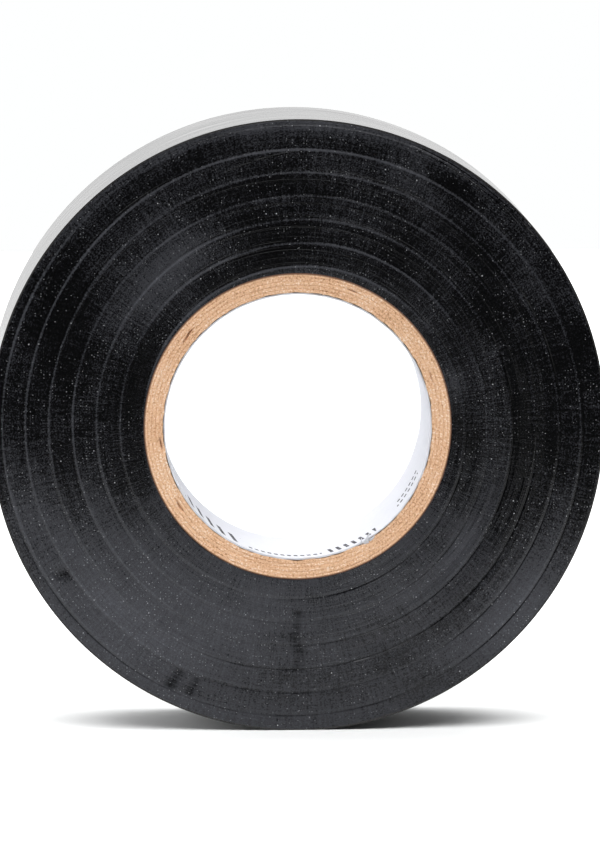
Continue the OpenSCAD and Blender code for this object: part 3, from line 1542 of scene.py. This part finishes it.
@dataclass
class Strip:
    """A stretch of the strip on the outside of the roll, in its two layers.

    Attributes:
        finishes: the materials of the layers.
        across: how many times the strip is divided across its width.
        edge_round: how much the film's edges are rounded, in millimetres.
        wavy: how much the film rises and falls.
        lift_sweep: sweep in which the loose tail leaves the turn below, in degrees.
        lift: how far it lies off that turn, which is closer than rigid lengths can be.
    """

    finishes: dict[Layer, bpy.types.Material]
    across: int = 27
    edge_round: float = 0.03
    wavy: float = 0.006
    lift_sweep: float = 7.0
    lift: float = 0.03

    def stretch(
        self, name: str, layer: Layer, start: float, end: float, steps: int, lifted: bool
    ) -> bpy.types.Object:
        """Builds one layer of the strip between two angles.

        Args:
            name: the piece's name.
            layer: the film or the adhesive.
            start: the lower angle in degrees.
            end: the higher angle in degrees.
            steps: steps of the spin.
            lifted: whether the stretch belongs to the lifted tail.

        Returns:
            The piece.
        """
        top, bottom = layer.value
        thickness = bottom - top
        guide = SIZES.tip_radius
        width = SIZES.half_width
        builder = bmesh.new()
        corners = [
            builder.verts.new((radius, along, 0))
            for radius, along in (
                (guide - thickness, -width),
                (guide, -width),
                (guide, width),
                (guide - thickness, width),
            )
        ]
        builder.faces.new(corners)
        if layer is Layer.FILM:
            bmesh.ops.bevel(
                builder,
                geom=corners,
                affect="VERTICES",
                offset=self.edge_round,
                segments=2,
                profile=0.5,
                material=-1,
            )
        long_edges = [
            e for e in builder.edges if abs(e.verts[0].co.y - e.verts[1].co.y) > width
        ]
        bmesh.ops.subdivide_edges(
            builder, edges=long_edges, cuts=self.across, use_grid_fill=True
        )
        bmesh.ops.rotate(
            builder,
            verts=builder.verts[:],
            cent=(0, 0, 0),
            matrix=Matrix.Rotation(-math.radians(start), 3, "Y"),
        )
        bmesh.ops.spin(
            builder,
            geom=builder.verts[:] + builder.edges[:] + builder.faces[:],
            cent=(0, 0, 0),
            axis=(0, -1, 0),
            angle=math.radians(end - start),
            steps=steps,
            use_merge=False,
        )
        bmesh.ops.recalc_face_normals(builder, faces=builder.faces[:])
        piece = new_mesh_piece(name, builder, self.finishes[layer])
        self.shape(Polar(piece), layer, start, lifted)
        piece.data.set_sharp_from_angle(angle=math.radians(50))
        return piece

    def shape(self, polar: Polar, layer: Layer, start: float, lifted: bool) -> None:
        """Lays a plain arc of strip on the spiral, with its slight unevenness."""
        top, bottom = layer.value
        depth = top + (SIZES.tip_radius - polar.radius)
        unwound = (polar.angle - start + 1) % 360 + start - 1
        edge = SIZES.spiral(unwound - SIZES.seam_angle, SIZES.tip_radius)
        lift = np.zeros(edge.shape)
        if lifted:
            leaving = SIZES.peel_angle - self.lift_sweep
            lift = self.lift * smooth_ramp(unwound, SIZES.peel_angle, leaving)
        wave = Ripple(611, 10, 14, 0.9).at(polar.along, unwound)
        edge = edge + lift + self.wavy * np.clip(wave, 0, 2)
        polar.radius = edge - depth
        shift = FRONT.feed_relief(edge, polar.angle)
        fall = FRONT.rim_drop(edge)
        polar.along = polar.along * (1 - fall / SIZES.half_width) - shift
        polar.put_back(SIZES.rest_height if not lifted else None)


@dataclass
class OuterTurn(Strip):
    """The last turn that still holds to the roll."""

    steps: int = 420

    def build(self) -> list[bpy.types.Object]:
        """Builds the film and its adhesive.

        Returns:
            The two pieces.
        """
        made = []
        for layer, name, node, slot in (
            (Layer.FILM, "last_turn_film", "outer_turn_film", Slot.FILM),
            (Layer.ADHESIVE, "last_turn_coat", "outer_turn_adhesive", Slot.ADHESIVE),
        ):
            end = 360 + SIZES.seam_angle - 0.02
            piece = self.stretch(name, layer, SIZES.peel_angle, end, self.steps, False)
            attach(piece, "roll")
            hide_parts(node)
            made.append(piece)
        return made


@dataclass
class LooseTail(Strip):
    """The strip's free end, in the five lengths that bend when it is peeled."""

    steps: int = 24

    def hinge(self, number: int) -> Vector:
        """The point where a length starts, in metres; one past the last is the tip."""
        angle = SIZES.peel_angle - (number - 1) * SIZES.tail_sweep / SIZES.tail_lengths
        past_seam = np.array([angle - SIZES.seam_angle])
        radius = SIZES.spiral(past_seam, SIZES.tip_radius)[0] + SIZES.tail_gap
        turn = math.radians(angle)
        return Vector((radius * math.cos(turn), 0, radius * math.sin(turn))) * MM

    def build(self) -> list[bpy.types.Object]:
        """Builds the film and adhesive of each length.

        Returns:
            The pieces, from the peel line to the tip.
        """
        made = []
        sweep = SIZES.tail_sweep / SIZES.tail_lengths
        for number in range(1, SIZES.tail_lengths + 1):
            end = SIZES.peel_angle - (number - 1) * sweep
            for layer, stem, node, slot in (
                (Layer.FILM, "loose_film", "tail_film", Slot.FILM),
                (Layer.ADHESIVE, "loose_coat", "tail_adhesive", Slot.ADHESIVE),
            ):
                piece = self.stretch(
                    f"{stem}_{number}", layer, end - sweep, end, self.steps, True
                )
                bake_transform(piece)
                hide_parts(f"{node}_{number}")
                made.append(piece)
        return made


# ---------------------------------------------------------------------------
# The studio
# ---------------------------------------------------------------------------


@dataclass(frozen=True)
class Softbox:
    """A soft light: a rectangle that shines at the roll.

    Attributes:
        name: its name.
        place: its middle, in metres.
        size: its width and height in metres.
        radiance: how bright its surface is.
    """

    name: str
    place: tuple[float, float, float]
    size: tuple[float, float]
    radiance: float

    def build(self, aim: Vector) -> bpy.types.Object:
        """Makes the light.

        Args:
            aim: the point that it shines at.

        Returns:
            The light's object.
        """
        light = bpy.data.lights.new(self.name, "AREA")
        light.shape = "RECTANGLE"
        light.size, light.size_y = self.size
        # A flat lamp of this power has the wanted radiance
        light.energy = self.radiance * math.pi * self.size[0] * self.size[1]
        lamp = bpy.data.objects.new(self.name, light)
        bpy.context.scene.collection.objects.link(lamp)
        lamp.location = self.place
        lamp.rotation_mode = "QUATERNION"
        lamp.rotation_quaternion = (aim - Vector(self.place)).to_track_quat("-Z", "Y")
        lamp.visible_camera = False
        return lamp


@dataclass
class Studio:
    """The white floor, the soft lights and the camera, in metres and degrees.

    Attributes:
        floor_height: height of the floor.
        floor_finish: its finish.
        floor_front: where it ends in front of the roll.
        floor_back: where it ends behind the roll.
        floor_side: how far it reaches to each side.
        camera_distance: how far the camera is from its aim.
        camera_above: how far it is turned up from the roll's axis.
        camera_left: how far it is turned to the roll's left.
        camera_shift: how far the camera and its aim lie beside the roll's centre.
        lens: its focal length in millimetres.
        sensor: the width of its sensor in millimetres.
        fill: how bright the surroundings are, apart from the lights.
        softboxes: the lights.
    """

    floor_height: float
    floor_finish: StudioFloor = StudioFloor()
    floor_front: float = -0.125
    floor_back: float = 0.6
    floor_side: float = 0.9
    camera_distance: float = 0.981
    camera_above: float = 6.7
    camera_left: float = 2.7
    camera_shift: tuple[float, float, float] = (0.00071, 0.0, -0.0011)
    lens: float = 340.0
    sensor: float = 36.0
    fill: float = 0.10
    softboxes: tuple[Softbox, ...] = (
        Softbox("front_top_light", (0.0, -0.42, 0.80), (1.1, 0.66), 5.2),
        Softbox("rear_top_light", (0.0, 0.40, 0.72), (1.1, 0.80), 3.3),
        Softbox("backdrop_light", (0.0, 2.0, 0.47), (3.4, 1.6), 1.25),
        Softbox("rear_left_light", (-0.75, 0.6, 0.3), (0.8, 0.7), 3.4),
    )

    def build(self) -> None:
        """Builds the floor, the lights, the world and the camera."""
        self.floor()
        aim = Vector((0, 0, 0))
        for softbox in self.softboxes:
            softbox.build(aim)
        self.world()
        self.camera()
        bpy.context.scene.view_settings.view_transform = "Standard"

    def floor(self) -> None:
        """Lays the floor under the roll."""
        builder = bmesh.new()
        bmesh.ops.create_grid(builder, x_segments=8, y_segments=8, size=1.0)
        length = self.floor_back - self.floor_front
        middle = (self.floor_back + self.floor_front) / 2
        bmesh.ops.scale(
            builder, vec=(self.floor_side, length / 2, 1), verts=builder.verts[:]
        )
        bmesh.ops.translate(
            builder, vec=(0, middle, self.floor_height), verts=builder.verts[:]
        )
        bmesh.ops.scale(builder, vec=(1 / MM,) * 3, verts=builder.verts[:])
        floor = new_mesh_piece("floor", builder, self.floor_finish.material())
        floor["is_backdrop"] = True

    def world(self) -> None:
        """Makes the surroundings: plain white behind the roll, and a faint fill light."""
        world = bpy.data.worlds.new("studio")
        bpy.context.scene.world = world
        world.use_nodes = True
        tree = world.node_tree
        tree.nodes.clear()
        seen = add(tree, "ShaderNodeLightPath").outputs["Is Camera Ray"]
        fill = add(
            tree,
            "ShaderNodeBackground",
            inputs={"Color": linear("#ffffff"), "Strength": self.fill},
        )
        white = add(
            tree,
            "ShaderNodeBackground",
            inputs={"Color": linear("#feffff"), "Strength": 1.0},
        )
        mix = add(
            tree,
            "ShaderNodeMixShader",
            inputs={0: seen, 1: fill.outputs[0], 2: white.outputs[0]},
        )
        add(tree, "ShaderNodeOutputWorld", inputs={"Surface": mix.outputs[0]})

    def camera(self) -> None:
        """Sets the camera in front of the roll, a little above it and to its left."""
        camera = bpy.data.cameras.new("camera")
        camera.lens = self.lens
        camera.sensor_width = self.sensor
        camera.sensor_fit = "AUTO"
        camera.clip_start, camera.clip_end = 0.05, 50.0
        holder = bpy.data.objects.new("camera", camera)
        bpy.context.scene.collection.objects.link(holder)
        up, left = math.radians(self.camera_above), math.radians(self.camera_left)
        back = Vector(
            (-math.sin(left) * math.cos(up), -math.cos(left) * math.cos(up), math.sin(up))
        )
        holder.location = back * self.camera_distance + Vector(self.camera_shift)
        holder.rotation_mode = "QUATERNION"
        holder.rotation_quaternion = (-back).to_track_quat("-Z", "Y")
        bpy.context.scene.camera = holder


def main() -> None:
    """Builds the studio and the roll, and reports each piece."""
    logging.basicConfig(level=logging.INFO, stream=sys.stdout, format="%(message)s")
    cad_low, cad_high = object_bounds()
    Studio(floor_height=cad_low.z).build()

    strip_finishes = {
        Layer.FILM: CalenderedFilm().material(),
        Layer.ADHESIVE: TapeAdhesive().material(),
    }
    for assembly in (
        Core(),
        Winding(film=strip_finishes[Layer.FILM]),
        OuterTurn(strip_finishes),
        LooseTail(strip_finishes),
    ):
        for piece in assembly.build():
            faces = len(piece.data.polygons)
            LOG.info("%s: %s, %d faces", type(assembly).__name__, piece.name, faces)


if __name__ == "__main__":
    main()
